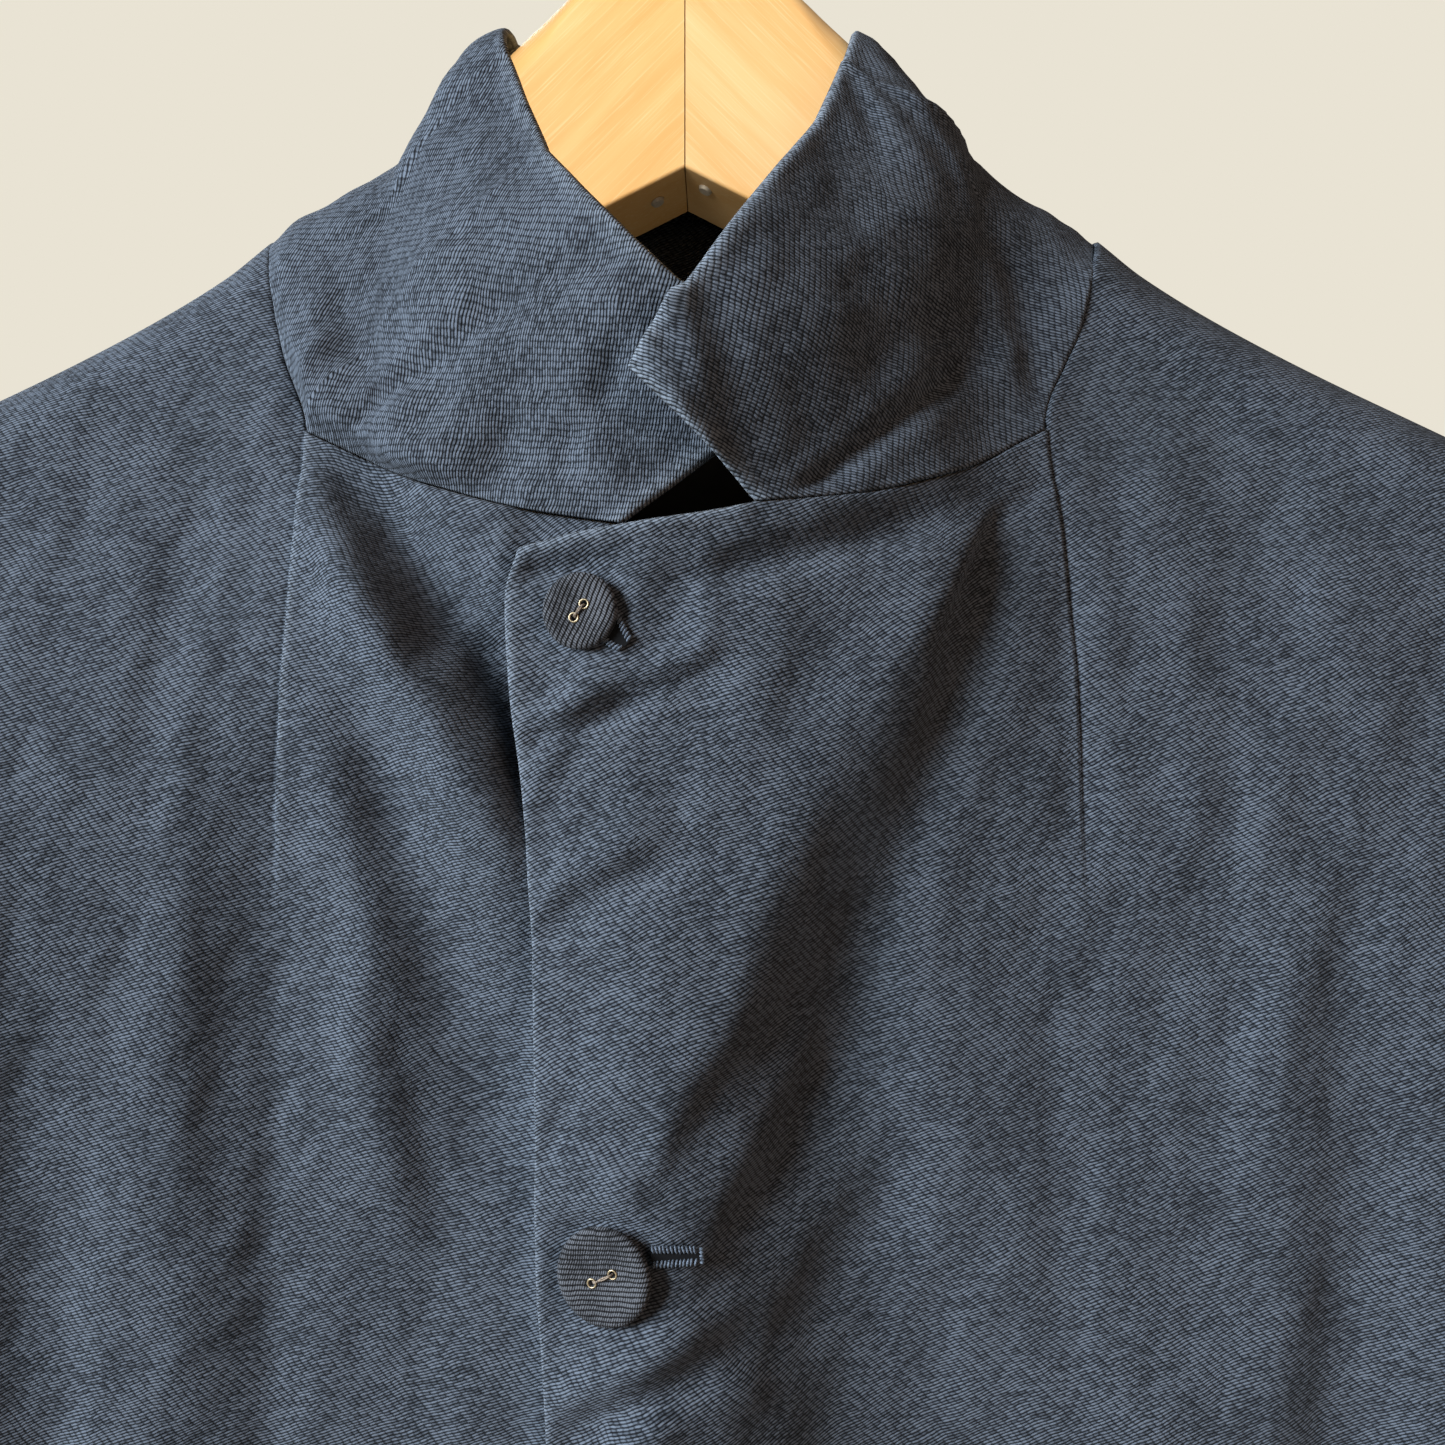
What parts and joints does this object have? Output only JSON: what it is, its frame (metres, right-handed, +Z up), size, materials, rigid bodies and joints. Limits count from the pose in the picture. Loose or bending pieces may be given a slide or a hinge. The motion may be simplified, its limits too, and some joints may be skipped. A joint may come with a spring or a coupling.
{
  "type": "linen jacket on wooden hanger",
  "caption": "Navy linen twill jacket with a laid-down collar, darts and covered buttons, hanging on a wide wooden hanger.",
  "frame": {"origin": "inside top of the hook's bend, where the rod carries the hanger", "axes": "+Z up; the jacket's front faces -Y; the wearer's left is +X"},
  "size_m": [0.6836, 0.1176, 0.8941],
  "materials": {
    "linen": "washed navy linen twill, matt, with pale slubs and light worn edges",
    "label_satin": "black woven satin, bare",
    "button_linen": "charcoal linen stretched over a button shell",
    "maple": "pale maple under a satin clear coat",
    "steel": "polished steel wire"
  },
  "bodies": {
    "root": {"front_left": "linen", "front_right": "linen", "back": "linen", "collar": "linen", "sleeve_left": "linen", "sleeve_right": "linen", "neck_label": "label_satin", "button_neck": "button_linen", "button_chest": "button_linen", "button_waist": "button_linen", "button_hip": "button_linen", "hanger_arm_left": "maple", "hanger_arm_right": "maple", "hanger_hook": "steel"}
  },
  "joints": []
}
